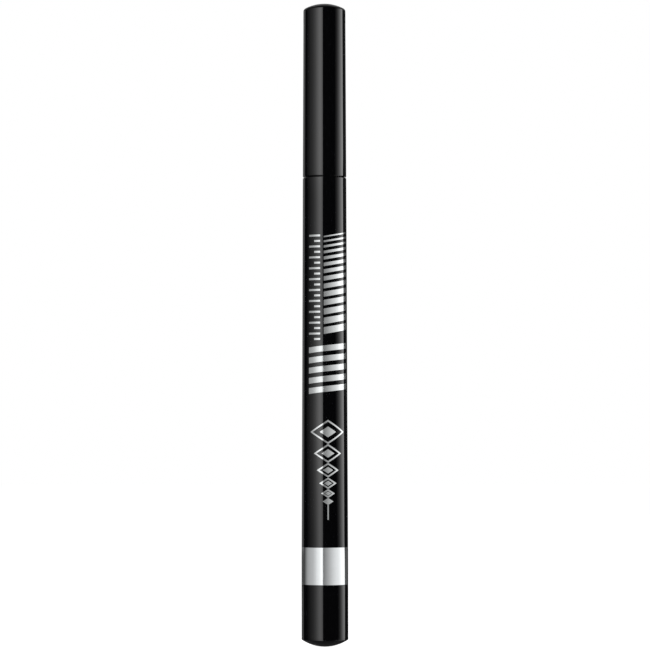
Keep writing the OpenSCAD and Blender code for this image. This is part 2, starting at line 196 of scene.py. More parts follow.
@dataclass(frozen=True)
class Finish:
    """A surface finish: what the material is, and how its surface was made."""

    name: str
    slot: str
    colour: str
    # Lowest and highest roughness, which vary over patches of the given size
    roughness: tuple[float, float]
    patch_mm: float
    # Size and depth of the surface's grain
    grain_mm: float
    grain_depth_mm: float
    # How far the grain is drawn out along each axis
    stretch: tuple[float, float, float] = (1.0, 1.0, 1.0)
    # Painted shade: share by which the colour darkens in the hollows of the grain
    painted_shade: float = 0.0
    # Constant values of the shader's own sockets
    sockets: tuple[tuple[str, Any], ...] = ()

    @cache
    def material(self) -> bpy.types.Material:
        """Build the node material, once for all pieces that have the finish.

        Returns:
            The material, whose roughness, colour and bump come from noise in real sizes, with painted shade
            darkening the colour in the grain's hollows.
        """
        material, tree = new_material(self.name)
        coords = millimetre_coords(tree, self.stretch)
        patches = add_node(tree, "ShaderNodeTexNoise", {"Scale": 1 / self.patch_mm, "Detail": PATCH_DETAIL},
                           {"Vector": coords})
        low, high = self.roughness
        rough = add_node(tree, "ShaderNodeMapRange", NOISE_RANGE | {"To Min": low, "To Max": high},
                         {"Value": patches.outputs["Fac"]})
        grain = add_node(tree, "ShaderNodeTexNoise", {"Scale": 1 / self.grain_mm, "Detail": GRAIN_DETAIL},
                         {"Vector": coords})
        bump = add_node(tree, "ShaderNodeBump", {"Strength": 1.0, "Distance": self.grain_depth_mm * MM},
                        {"Height": grain.outputs["Fac"]})
        # Painted shade: the noise that raises the bump also darkens the colour where the grain is low
        painted_shade_factor = add_node(tree, "ShaderNodeMapRange", NOISE_RANGE | {"To Min": 1 - self.painted_shade, "To Max": 1.0},
                        {"Value": grain.outputs["Fac"]})
        full = srgb(self.colour)
        painted_shade_colour = (*(PAINTED_SHADE_SHARE * part for part in full[:3]), 1.0)
        colour = add_node(tree, "ShaderNodeMix", {"data_type": "RGBA", 6: painted_shade_colour, 7: full},
                          {0: painted_shade_factor.outputs["Result"]})
        shader = add_node(tree, "ShaderNodeBsdfPrincipled", dict(self.sockets), {
            "Base Color": colour.outputs[2], "Roughness": rough.outputs["Result"],
            "Normal": bump.outputs["Normal"]})
        add_node(tree, "ShaderNodeOutputMaterial", links={"Surface": shader.outputs["BSDF"]})
        return material


# Polypropylene moulded in a polished tool: deep black, with a mirror-like skin that waves very slightly
POLISHED_BLACK = Finish(
    name="polished_black_polypropylene", slot="gloss_black", colour="#040405",
    roughness=(0.04, 0.065), patch_mm=5.0, grain_mm=7.0, grain_depth_mm=0.02,
    stretch=(1.0, 1.0, 0.35), sockets=(("IOR", 1.49),))

# The same plastic from a tool with a fine spark-eroded face: satin, so that fingers don't mark it. The
# real grain is about 0.03 mm, and it is drawn at 0.3 mm so that it shows.
SATIN_BLACK = Finish(
    name="satin_black_polypropylene", slot="satin_black", colour="#18181a",
    roughness=(0.2, 0.28), patch_mm=2.0, grain_mm=0.3, grain_depth_mm=0.006, sockets=(("IOR", 1.49),))

# Hot-stamped aluminium foil: bright, with the soft sheen that the heated die leaves
STAMPED_FOIL = Finish(
    name="hot_stamped_silver_foil", slot="silver_foil", colour="#a2a4a4",
    roughness=(0.1, 0.2), patch_mm=0.8, grain_mm=0.4, grain_depth_mm=0.002, painted_shade=0.12,
    sockets=(("Metallic", 1.0),))

# Metallised polyester film round the barrel: bright and smooth, rolled with faint lines round the pen
METALLISED_FILM = Finish(
    name="metallised_silver_film", slot="silver_foil", colour="#acaeaf",
    roughness=(0.06, 0.1), patch_mm=3.0, grain_mm=0.3, grain_depth_mm=0.0008,
    stretch=(0.15, 0.15, 1.0), painted_shade=0.06, sockets=(("Metallic", 1.0),))

# Stainless steel, ground and tumbled: bright with a faint haze
POLISHED_STEEL = Finish(
    name="tumbled_stainless_steel", slot="steel", colour="#c4c6c9",
    roughness=(0.12, 0.2), patch_mm=0.7, grain_mm=0.08, grain_depth_mm=0.0006, sockets=(("Metallic", 1.0),))

# Natural polypropylene: milky, lets some light through, with a waxy surface
MILKY_PLASTIC = Finish(
    name="natural_polypropylene", slot="milky_plastic", colour="#e6e9ea",
    roughness=(0.3, 0.4), patch_mm=2.5, grain_mm=0.3, grain_depth_mm=0.002,
    sockets=(("IOR", 1.49), ("Subsurface Weight", 0.35), ("Subsurface Radius", (1.0, 0.95, 0.9)),
             ("Subsurface Scale", 0.002), ("Transmission Weight", 0.15)))

# Acetal copolymer moulded for the comb: ivory and even, dull from a fine tool
IVORY_PLASTIC = Finish(
    name="ivory_acetal", slot="ivory_plastic", colour="#ece8dc",
    roughness=(0.42, 0.52), patch_mm=2.0, grain_mm=0.1, grain_depth_mm=0.002, painted_shade=0.08,
    sockets=(("IOR", 1.48),))

# Polyester fibres bonded side by side into a rod: a dull face with lines along the rod. The real fibres
# are about 0.03 mm thick, and they are drawn at 0.06 mm so that they show.
# Painted shade darkens the hollows between the fibres
BONDED_FIBRE = Finish(
    name="bonded_polyester_fibre", slot="fibre", colour="#e4e1d8",
    roughness=(0.7, 0.85), patch_mm=0.5, grain_mm=0.06, grain_depth_mm=0.01,
    stretch=(1.0, 1.0, 0.04), painted_shade=0.5, sockets=(("Sheen Weight", 0.2),))

# Drawn nylon bristles, dyed dark and damp with ink: fine lines of shine along each strand
# Painted shade darkens the hollows between the strands
DARK_NYLON = Finish(
    name="ink_dark_nylon", slot="bristle", colour="#17130f",
    roughness=(0.22, 0.34), patch_mm=0.6, grain_mm=0.05, grain_depth_mm=0.003, stretch=(1.0, 1.0, 0.05),
    painted_shade=0.5, sockets=(("IOR", 1.53), ("Coat Weight", 0.3), ("Coat Roughness", 0.15)))


def dress(piece: bpy.types.Object, finish: Finish) -> None:
    """Give a piece its material, in each of its material slots.

    Args:
        piece: A new piece, or a node of the frame that keeps its shape.
        finish: Finish that the piece gets.
    """
    if not piece.data.materials:
        piece.data.materials.append(finish.material())
    for place in piece.material_slots:
        place.material = finish.material()


def grid(*parts: np.ndarray | float) -> np.ndarray:
    """Stack coordinates, each spread over the whole grid, into points."""
    return np.stack(np.broadcast_arrays(*parts), axis=-1)


def polar(radius: np.ndarray | float, angle: np.ndarray, height: np.ndarray | float) -> np.ndarray:
    """Grid of points about the axis: radius times cosine, radius times sine, and height."""
    return grid(radius * np.cos(angle), radius * np.sin(angle), height)


def round_angles(count: int) -> np.ndarray:
    """Give a number of even angles once round, from 0."""
    return np.linspace(0, 2 * math.pi, count, endpoint=False)


def close_ends(tubes: np.ndarray) -> np.ndarray:
    """Close tubes: at each end, one more ring whose points all lie in the middle of the last one.

    Args:
        tubes: Points by ring, place round the ring and coordinate, of one tube or of several in a row.

    Returns:
        The same tubes with two rings more.
    """
    middles = np.repeat(tubes.mean(axis=-2, keepdims=True), tubes.shape[-2], axis=-2)
    return np.concatenate([middles[..., :1, :, :], tubes, middles[..., -1:, :, :]], axis=-3)


def arc(
    centre: tuple[float, float], radius: float, start: float, end: float, steps: int = ARC_STEPS
) -> np.ndarray:
    """Points of a circular arc: the centre plus the radius times cosine and sine of an even run of angles.

    Args:
        centre: Centre as radius from the axis and height.
        radius: Radius of the arc.
        start: First angle in degrees, from the outward direction.
        end: Last angle in degrees.
        steps: Number of steps.

    Returns:
        Points as rows of radius and height.
    """
    angle = np.radians(np.linspace(start, end, steps + 1))
    return np.column_stack([centre[0] + radius * np.cos(angle), centre[1] + radius * np.sin(angle)])


def crown(radius: float, apex: float, dome: float, edge: float, way: float) -> np.ndarray:
    """Outline over a rod's rounded edge and its dome, from the side to the axis.

    The edge is a circle that touches the side and, from inside, the dome's sphere. Its centre therefore lies
    the edge's radius in from the side, and the dome's radius less the edge's from the dome's centre.

    Args:
        radius: Radius of the rod.
        apex: Height of the dome's highest point, or its lowest where it faces down.
        dome: Radius of the dome's sphere.
        edge: Radius of the rounded edge.
        way: 1 for a dome that faces up, -1 for one that faces down.

    Returns:
        Points as rows of radius and height.
    """
    rise = math.sqrt((dome - edge) ** 2 - (radius - edge) ** 2)
    lean = math.degrees(math.atan2(radius - edge, rise))
    rim = arc((radius - edge, rise), edge, 0, 90 - lean)
    top = arc((0, 0), dome, 90 - lean, 90, 3 * ARC_STEPS)[1:]
    points = np.vstack([rim, top])
    points[:, 1] = apex + way * (points[:, 1] - dome)
    points[-1, 0] = 0
    return points


def bead(radius: float, height: float, rise: float, width: float) -> np.ndarray:
    """Outline of a rounded bead: half a sine wave of the given rise on a wall, over its width.

    Args:
        radius: Radius of the wall.
        height: Height of the bead's middle.
        rise: How far it stands out from the axis, negative for a bead that stands in.
        width: Width along the axis.

    Returns:
        Points as rows of radius and height.
    """
    angle = np.linspace(0, math.pi, 2 * ARC_STEPS + 1)
    return np.column_stack([radius + rise * np.sin(angle), height - width / 2 * np.cos(angle)])


def refine(points: np.ndarray, step: float = 2.0, guard: float = 0.03) -> np.ndarray:
    """Add points along an outline's straight stretches, so that rounded edges don't bend their shading.

    Every stretch of more than four guards gets a point a guard's width from each end, and the outline gets
    points at even steps of its whole length.

    Args:
        points: Outline as rows of radius and height.
        step: Distance between the even steps.
        guard: Distance of the guard points from a corner.

    Returns:
        The outline with the added points.
    """
    length = np.hypot(*np.diff(points, axis=0).T)
    keep = np.append(True, length > SAME_POINT)
    points = points[keep]
    length = np.hypot(*np.diff(points, axis=0).T)
    at = np.append(0, np.cumsum(length))
    long = length > 4 * guard
    evenly = np.arange(0, at[-1], step)
    near = np.abs(evenly[:, None] - at[None, :]).min(1) > guard
    where = np.unique(np.concatenate([at, at[:-1][long] + guard, at[1:][long] - guard, evenly[near]]))
    return np.column_stack([np.interp(where, at, points[:, 0]), np.interp(where, at, points[:, 1])])


def turned(outline: np.ndarray, turns: int = TURNS) -> np.ndarray:
    """Turn an outline about the axis: each point goes round a circle of its own radius.

    Args:
        outline: Rows of radius and height.
        turns: Number of segments round the axis.

    Returns:
        Grid of points, one row for each angle.
    """
    radius, height = outline.T
    return polar(radius, round_angles(turns)[:, None], height)


def off_lines(count: int, radius: float) -> np.ndarray:
    """Distance round a wall from each row of a turned grid to the nearest of some evenly spaced lines.

    Each angle is counted in line spacings, and what it lacks of a whole number is turned back to a distance.

    Args:
        count: Number of lines, the first at angle 0.
        radius: Radius of the wall.

    Returns:
        One distance for each row.
    """
    turn = (round_angles(TURNS) * count / (2 * math.pi) + 0.5) % 1 - 0.5
    return np.abs(turn) * 2 * math.pi / count * radius


def grid_faces(rows: int, columns: int, wrap_rows: bool, wrap_columns: bool, start: int = 0) -> np.ndarray:
    """Quads of a grid: each joins a point to its right, diagonal and upper neighbours.

    Args:
        rows: Number of rows of points.
        columns: Number of points in a row.
        wrap_rows: Whether the last row joins the first.
        wrap_columns: Whether the last column joins the first.
        start: Number of the grid's first point.

    Returns:
        Point numbers, four to a row.
    """
    i = np.arange(rows if wrap_rows else rows - 1)[:, None]
    j = np.arange(columns if wrap_columns else columns - 1)[None, :]
    below, above = i * columns, (i + 1) % rows * columns
    left, right = j, (j + 1) % columns
    return start + grid(below + left, above + left, above + right, below + right).reshape(-1, 4)


@dataclass
class Patch:
    """A grid of points in millimetres, and how it closes on itself."""

    points: np.ndarray
    wrap_rows: bool = True
    wrap_columns: bool = True


def make_piece(
    name: str, patches: list[Patch], body: Body | None, sharp: float = SHARP_EDGE
) -> bpy.types.Object:
    """Put grids of points into one closed mesh whose faces point outwards, and let it ride on a body.

    Args:
        name: Name of the piece.
        patches: Grids that make up the piece.
        body: Body that the piece moves with, or None for one that stretches between two.
        sharp: Angle in degrees past which an edge is shaded sharp.

    Returns:
        The new object, at the origin.
    """
    points, faces, start = [], [], 0
    for patch in patches:
        rows, columns = patch.points.shape[:2]
        points.append(patch.points.reshape(-1, 3))
        faces.append(grid_faces(rows, columns, patch.wrap_rows, patch.wrap_columns, start))
        start += rows * columns
    mesh = bpy.data.meshes.new(name)
    mesh.from_pydata((np.vstack(points) * MM).tolist(), [], np.vstack(faces).tolist())
    shape = bmesh.new()
    shape.from_mesh(mesh)
    bmesh.ops.remove_doubles(shape, verts=shape.verts, dist=MERGE * MM)
    bare = [edge for edge in shape.edges if edge.is_wire]
    bmesh.ops.delete(shape, geom=bare, context="EDGES")
    bmesh.ops.recalc_face_normals(shape, faces=shape.faces)
    shape.to_mesh(mesh)
    shape.free()
    mesh.shade_smooth()
    mesh.set_sharp_from_angle(angle=math.radians(sharp))
    piece = bpy.data.objects.new(name, mesh)
    bpy.context.scene.collection.objects.link(piece)
    if body is not None:
        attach(piece, body.value)
    LOG.info("%s: %d faces", name, len(mesh.polygons))
    return piece


@dataclass
class Barrel:
    """The black tube that holds the ink: straight at the tail, then tapering to the cap."""

    # Rounding of the front edge and of the tail edge
    lip: float = 0.3
    tail_lip: float = 0.05
    # Depth of the recess under the silver band
    recess: float = 0.12
    # Wall round the tail plug, and the groove for its snap rib
    socket_wall: float = 1.1
    snap_rib: float = 0.12
    snap_rib_w: float = 0.7
    tail_z: float = field(init=False)
    seam_z: float = field(init=False)
    tail_r: float = field(init=False)
    seam_r: float = field(init=False)
    tank_r: float = field(init=False)
    socket_r: float = field(init=False)
    band_z: float = field(init=False)
    band_top: float = field(init=False)

    def __post_init__(self) -> None:
        """Read the heights and radii that the frame gives."""
        self.tail_z, self.seam_z, self.tail_r = span("barrel")
        self.seam_r = span("cap_shell")[2]
        self.tank_r = span("collector")[2] + FIT
        self.socket_r = self.tail_r - self.socket_wall
        sleeve = span("silver_band")
        self.band_z, self.band_top = sleeve[0] - FIT / 2, sleeve[1] + FIT / 2

    def radius_at(self, height: np.ndarray | float) -> np.ndarray:
        """Outer radius: the tail's up to the band, then a straight taper to the seam's.

        Args:
            height: Heights on the axis.

        Returns:
            Radii at those heights.
        """
        return np.interp(height, [self.band_z, self.seam_z], [self.tail_r, self.seam_r])

    def build(self) -> bpy.types.Object:
        """Turn the tube's section, outside, front face, bore and socket in one loop.

        Returns:
            The barrel.
        """
        floor_low = self.radius_at(self.band_z) - self.recess
        floor_high = self.radius_at(self.band_top) - self.recess
        stem_top = span("end_plug")[1]
        groove_z = (self.tail_z + stem_top) / 2
        outline = np.vstack([
            [(self.socket_r + LEAD, self.tail_z)],
            arc((self.tail_r - self.tail_lip, self.tail_z + self.tail_lip), self.tail_lip, -90, 0),
            [(self.tail_r, self.band_z), (floor_low, self.band_z)],
            [(floor_high, self.band_top), (self.radius_at(self.band_top), self.band_top)],
            arc((self.seam_r - self.lip, self.seam_z - self.lip), self.lip, 0, 90),
            [(self.tank_r + LEAD / 2, self.seam_z), (self.tank_r, self.seam_z - LEAD / 2)],
            [(self.tank_r, stem_top + REST_GAP), (self.socket_r, stem_top + REST_GAP)],
            bead(self.socket_r, groove_z, self.snap_rib, self.snap_rib_w + 2 * FIT)[::-1],
            [(self.socket_r, self.tail_z + LEAD), (self.socket_r + LEAD, self.tail_z)],
        ])
        piece = make_piece("barrel_tube", [Patch(turned(refine(outline)[:-1]))], Body.PEN)
        dress(piece, POLISHED_BLACK)
        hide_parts("barrel")
        return piece


@dataclass
class TailPlug:
    """The plug that closes the tail: a domed head and a ribbed stem inside the barrel."""

    dome: float = 9.0
    edge: float = 0.18
    # Depth of the waists between the stem's sealing lands, and how many times a land goes into the stem
    relief: float = 0.2
    land_parts: int = 6
    # Hollow from the tank side
    hollow_r: float = 1.335
    hollow_len: float = 5.5

    def build(self, barrel: Barrel) -> bpy.types.Object:
        """Turn the plug's section from the dome's apex, up the stem and down into the hollow.

        Args:
            barrel: The barrel that the plug closes.

        Returns:
            The plug.
        """
        bottom, top, _ = span("end_plug")
        stem = top - barrel.tail_z
        land = stem / self.land_parts
        stem_r = barrel.socket_r - FIT
        waist_r = stem_r - self.relief
        middle = barrel.tail_z + stem / 2
        outline = np.vstack([
            crown(barrel.tail_r, bottom, self.dome, self.edge, -1)[::-1],
            [(barrel.tail_r, barrel.tail_z), (waist_r, barrel.tail_z), (waist_r, barrel.tail_z + land / 2)],
            [(stem_r, barrel.tail_z + land / 2 + self.relief)],
            bead(stem_r, middle, barrel.snap_rib, barrel.snap_rib_w),
            [(stem_r, middle + land), (waist_r, middle + land + self.relief)],
            [(waist_r, top - land - self.relief), (stem_r, top - land)],
            [(stem_r, top - LEAD), (stem_r - LEAD, top), (self.hollow_r, top)],
            [(self.hollow_r, top - self.hollow_len + LEAD)],
            [(self.hollow_r - LEAD, top - self.hollow_len), (0, top - self.hollow_len)],
        ])
        piece = make_piece("tail_plug", [Patch(turned(refine(outline)), wrap_columns=False)], Body.PEN)
        dress(piece, POLISHED_BLACK)
        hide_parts("end_plug")
        return piece


@dataclass
class SilverBand:
    """The metallised sleeve, flush in its recess near the tail."""

    # Rounding of the film's cut edges
    edge: float = 0.05

    def build(self, barrel: Barrel) -> bpy.types.Object:
        """Turn the sleeve's thin section.

        Args:
            barrel: The barrel that carries the sleeve.

        Returns:
            The sleeve.
        """
        low, high = barrel.band_z + FIT / 2, barrel.band_top - FIT / 2
        low_r, high_r = float(barrel.radius_at(low)), float(barrel.radius_at(high))
        inner = barrel.recess - FIT / 2
        outline = np.vstack([
            [(low_r - inner, low)],
            arc((low_r - self.edge, low + self.edge), self.edge, -90, 0),
            arc((high_r - self.edge, high - self.edge), self.edge, 0, 90),
            [(high_r - inner, high), (low_r - inner, low)],
        ])
        piece = make_piece("band_sleeve", [Patch(turned(refine(outline)[:-1]))], Body.PEN)
        dress(piece, METALLISED_FILM)
        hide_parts("silver_band")
        return piece


@dataclass
class FoilPrint:
    """A plain hot-stamped pattern on the barrel's front: a scale of slanted bars over a string of lozenges."""

    # How far the foil stands proud of the barrel, and how far its underside lies in it
    proud: float = 0.015
    sunk: float = 0.01
    # Column of graduated bars: its place round the barrel and its heights
    bar_span: tuple[float, float] = (-0.2, 6.1)
    bar_top: float = 89.3
    bar_count: int = 14
    bar_thin: float = 0.3
    bar_growth: float = 0.09
    bar_gap: float = 0.68
    slant: float = 1.1
    # Column of short ticks beside it
    tick_span: tuple[float, float] = (-3.75, -1.0)
    tick_count: int = 20
    tick_thick: float = 0.42
    # How many thicknesses of a tick the column keeps from the block under it
    tick_stop: int = 3
    # Block of broad bars under both
    block_span: tuple[float, float] = (-3.75, 6.1)
    block_top: float = 65.2
    block_count: int = 5
    block_thick: float = 1.25
    block_gap: float = 0.95
    # String of lozenges below: place round the barrel, ends, number, first half-sizes and shrinking ratio
    string_place: float = 0.7
    string_top: float = 49.0
    string_low: float = 27.5
    lozenge_count: int = 6
    lozenge_half: tuple[float, float] = (4.0, 2.6)
    lozenge_share: float = 0.78
    # Stroke of the lozenges' outline and of the line, and the height that it takes up where it slopes
    stroke: float = 0.28
    slope: float = 1.4
    # Size of each lozenge's filled core, as a share of its own
    core_share: float = 0.45
    # Steps of the marks' grids: along and across a bar, round a lozenge, across its outline and its core
    bar_steps: int = 24
    bar_columns: int = 5
    lozenge_steps: int = 64
    outline_columns: int = 4
    core_columns: int = 9

    def wrap(self, flat: np.ndarray, barrel: Barrel, lift: float) -> np.ndarray:
        """Lay flat points on the barrel: distance round it becomes an angle at the middle radius.

        Args:
            flat: Points as distance round from the front, and height.
            barrel: The barrel that they lie on.
            lift: Distance out from its surface.

        Returns:
            Points in space.
        """
        angle = flat[..., 0] / ((barrel.tail_r + barrel.seam_r) / 2) - math.pi / 2
        return polar(barrel.radius_at(flat[..., 1]) + lift, angle, flat[..., 1])

    def slab(self, flat: np.ndarray, barrel: Barrel, closed: bool) -> Patch:
        """Make a thin closed slab from a flat grid.

        Each row of the grid goes across the mark on its outer face and back on its underside. Where the mark
        has ends, one more row at half the thickness closes each of them.

        Args:
            flat: Grid of flat points, rows along the mark and columns across it.
            barrel: The barrel that it lies on.
            closed: Whether the mark runs round into itself.

        Returns:
            The slab's grid.
        """
        outer = self.wrap(flat, barrel, self.proud)
        under = self.wrap(flat, barrel, -self.sunk)
        rows = np.concatenate([outer, under[:, ::-1]], axis=1)
        if not closed:
            middle = (outer + under) / 2
            ends = np.concatenate([middle, middle[:, ::-1]], axis=1)
            rows = np.concatenate([ends[:1], rows, ends[-1:]], axis=0)
        return Patch(rows, wrap_rows=closed)

    def bar(self, sides: tuple[float, float], middle: float, thick: float, slant: float) -> np.ndarray:
        """Flat grid of a slanted bar: straight from left to right, at one thickness.

        Args:
            sides: Left and right ends, round the barrel.
            middle: Height of its middle.
            thick: Thickness along the pen.
            slant: Rise from its left end to its right end.

        Returns:
            Grid of flat points.
        """
        along = np.linspace(0, 1, self.bar_steps + 1)[:, None]
        across = np.linspace(-0.5, 0.5, self.bar_columns)
        u = sides[0] + (sides[1] - sides[0]) * along
        v = middle + slant * (along - 0.5) + thick * across
        return grid(u, v)

    def lozenge(self, middle: float, half: tuple[float, float], inner: float) -> np.ndarray:
        """Flat grid of a lozenge or its outline.

        Cosine and sine, each times its own size and its half of the lozenge, go round four straight sides.

        Args:
            middle: Height of its middle.
            half: Half its width and half its height.
            inner: Share of that size where the inside begins, or 0 for a filled one.

        Returns:
            Grid of flat points.
        """
        angle = round_angles(self.lozenge_steps)[:, None]
        share = np.linspace(inner, 1, self.outline_columns if inner else self.core_columns)
        u = self.string_place + half[0] * share * np.cos(angle) * np.abs(np.cos(angle))
        v = middle + half[1] * share * np.sin(angle) * np.abs(np.sin(angle))
        return grid(u, v)

    def scale_bars(self) -> list[np.ndarray]:
        """Graduated bars from thin to thick, going down.

        Returns:
            Flat grids of the bars.
        """
        number = np.arange(self.bar_count)
        thick = self.bar_thin + self.bar_growth * number
        top = self.bar_top - np.append(0, np.cumsum(thick + self.bar_gap))[:-1]
        return [self.bar(self.bar_span, t - h / 2, h, self.slant) for t, h in zip(top, thick)]

    def ticks(self) -> list[np.ndarray]:
        """Short marks at even steps, every other one half as long.

        Returns:
            Flat grids of the ticks.
        """
        left, right = self.tick_span
        last = self.block_top + self.tick_stop * self.tick_thick
        middle = np.linspace(self.bar_top - self.tick_thick, last, self.tick_count)
        starts = [left if i % 2 == 0 else (left + right) / 2 for i in range(self.tick_count)]
        return [self.bar((s, right), m, self.tick_thick, 0) for s, m in zip(starts, middle)]

    def block(self) -> list[np.ndarray]:
        """Broad slanted bars across both columns.

        Returns:
            Flat grids of the bars.
        """
        pitch = self.block_thick + self.block_gap
        middle = self.block_top - self.block_thick / 2 - np.arange(self.block_count) * pitch
        return [self.bar(self.block_span, m, self.block_thick, self.slant) for m in middle]

    def string(self) -> tuple[list[np.ndarray], list[np.ndarray]]:
        """Lozenges with a core, which shrink downwards at a steady ratio, and a thin line to the end.

        Returns:
            Flat grids of the marks that run round into themselves, and of the line.
        """
        ratio = self.lozenge_share ** np.arange(self.lozenge_count)
        heights = 2 * self.lozenge_half[1] * ratio
        middles = self.string_top - np.cumsum(heights) + heights / 2
        rounds = []
        for ratio_here, middle in zip(ratio, middles):
            half = (self.lozenge_half[0] * ratio_here, self.lozenge_half[1] * ratio_here)
            core = (self.core_share * half[0], self.core_share * half[1])
            rounds.append(self.lozenge(float(middle), half, 1 - self.slope * self.stroke / half[1]))
            rounds.append(self.lozenge(float(middle), core, 0))
        end = float(middles[-1] - heights[-1] / 2)
        sides = (self.string_place - self.stroke / 2, self.string_place + self.stroke / 2)
        stem = self.bar(sides, (end + self.string_low) / 2, end - self.string_low, 0)
        return rounds, [stem]

    def build(self, barrel: Barrel) -> bpy.types.Object:
        """Lay all marks on the barrel as one piece.

        Args:
            barrel: The barrel that carries the print.

        Returns:
            The print.
        """
        rounds, stems = self.string()
        open_marks = self.scale_bars() + self.ticks() + self.block() + stems
        patches = [self.slab(m, barrel, False) for m in open_marks]
        patches += [self.slab(m, barrel, True) for m in rounds]
        piece = make_piece("foil_print", patches, Body.PEN)
        dress(piece, STAMPED_FOIL)
        return piece


@dataclass
class Nose:
    """The front section: plug in the barrel, neck that the cap snaps on, seat and tapering nose."""

    neck_gap: float = 0.2
    neck_len: float = 7.0
    bead_rise: float = 0.07
    bead_at: float = 4.6
    bead_w: float = 0.8
    seat_gap: float = 0.1
    seat_len: float = 3.2
    nose_len: float = 7.6
    nose_tip_r: float = 1.76
    taper_power: float = 1.7
    taper_steps: int = 24
    nozzle_wall: float = 0.45
    # Depth of the plug's two waists, which share its length with three lands
    relief: float = 0.15
    land_parts: int = 5
    # Inside: socket, air chamber, retainer's bore, root's pocket and the brush's bore
    socket_wall: float = 0.95
    socket_len: float = 3.0
    chamber_step: float = 0.2
    bore_r: float = 1.01
    root_len: float = 1.4
    vent_depth: float = 0.2
    # Half the width of an air vent in the bore, and the width over which its side rises
    vent_half: float = 0.175
    vent_edge: float = 0.02
    vents: int = 3

    def front(self) -> float:
        """Give the height of the nozzle's mouth."""
        return span("front_section")[1]

    def build(self, barrel: Barrel) -> bpy.types.Object:
        """Turn the section in one loop, with vents let into the bore.

        Args:
            barrel: The barrel that the nose plugs into.

        Returns:
            The front section.
        """
        rear, front, _ = span("front_section")
        retainer_low, retainer_top, retainer_r = span("brush_retainer")
        retainer_r += FIT
        root_r = span("brush_tip")[2] + FIT
        root_top = retainer_top + self.root_len
        chamber_top = retainer_low - LEAD
        shoulder = barrel.seam_z + self.neck_len
        seat_top = shoulder + self.seat_len
        nozzle_r = self.bore_r + self.nozzle_wall
        neck_r = barrel.seam_r - CAP_WALL - self.neck_gap
        plug_r = barrel.tank_r - FIT
        socket_r = plug_r - self.socket_wall
        chamber_r = socket_r - self.chamber_step
        seat_r = SealingCup().outer_r() - CUP_WALL - self.seat_gap
        seat_edge = seat_r - LEAD / 2
        share = np.linspace(0, 1, self.taper_steps + 1)[1:, None]
        taper = np.hstack([self.nose_tip_r + (seat_edge - self.nose_tip_r) * (1 - share) ** self.taper_power,
                           seat_top + self.nose_len * share])
        land = (barrel.seam_z - rear - LEAD) / self.land_parts
        waist_r, step = plug_r - self.relief, self.relief / land
        lands = np.array([(plug_r, LEAD / land), (plug_r, 1), (waist_r, 1 + step), (waist_r, 2),
                          (plug_r, 2 + step), (plug_r, 3), (waist_r, 3 + step), (waist_r, 4),
                          (plug_r, 4 + step)]) * (1, land) + (0, rear)
        outline = refine(np.vstack([
            [(socket_r, rear), (plug_r - LEAD, rear)],
            lands,
            [(plug_r, barrel.seam_z), (neck_r, barrel.seam_z)],
            bead(neck_r, barrel.seam_z + self.bead_at, self.bead_rise, self.bead_w),
            arc((neck_r - LEAD, shoulder - LEAD), LEAD, 0, 90),
            [(seat_r, shoulder), (seat_r, seat_top - LEAD / 2), (seat_edge, seat_top)],
            taper,
            [(nozzle_r, seat_top + self.nose_len)],
            arc((nozzle_r - LEAD / 2, front - LEAD / 2), LEAD / 2, 0, 90),
            [(self.bore_r, front), (self.bore_r, root_top), (root_r, root_top), (root_r, retainer_top)],
            [(retainer_r, retainer_top), (retainer_r, chamber_top), (chamber_r, chamber_top - LEAD)],
            [(chamber_r, rear + self.socket_len), (socket_r, rear + self.socket_len - LEAD)],
            [(socket_r, rear)],
        ]))[:-1]
        points = turned(outline)
        in_bore = (np.abs(outline[:, 0] - self.bore_r) < ON_WALL) & (outline[:, 1] > root_top)
        past_edge = (self.vent_half - off_lines(self.vents, self.bore_r)) / self.vent_edge
        depth = self.vent_depth * np.clip(past_edge + 0.5, 0, 1)
        points[..., :2] *= 1 + (depth[:, None] * in_bore[None, :] / self.bore_r)[..., None]
        piece = make_piece("front_section_shell", [Patch(points)], Body.PEN)
        dress(piece, SATIN_BLACK)
        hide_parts("front_section")
        return piece


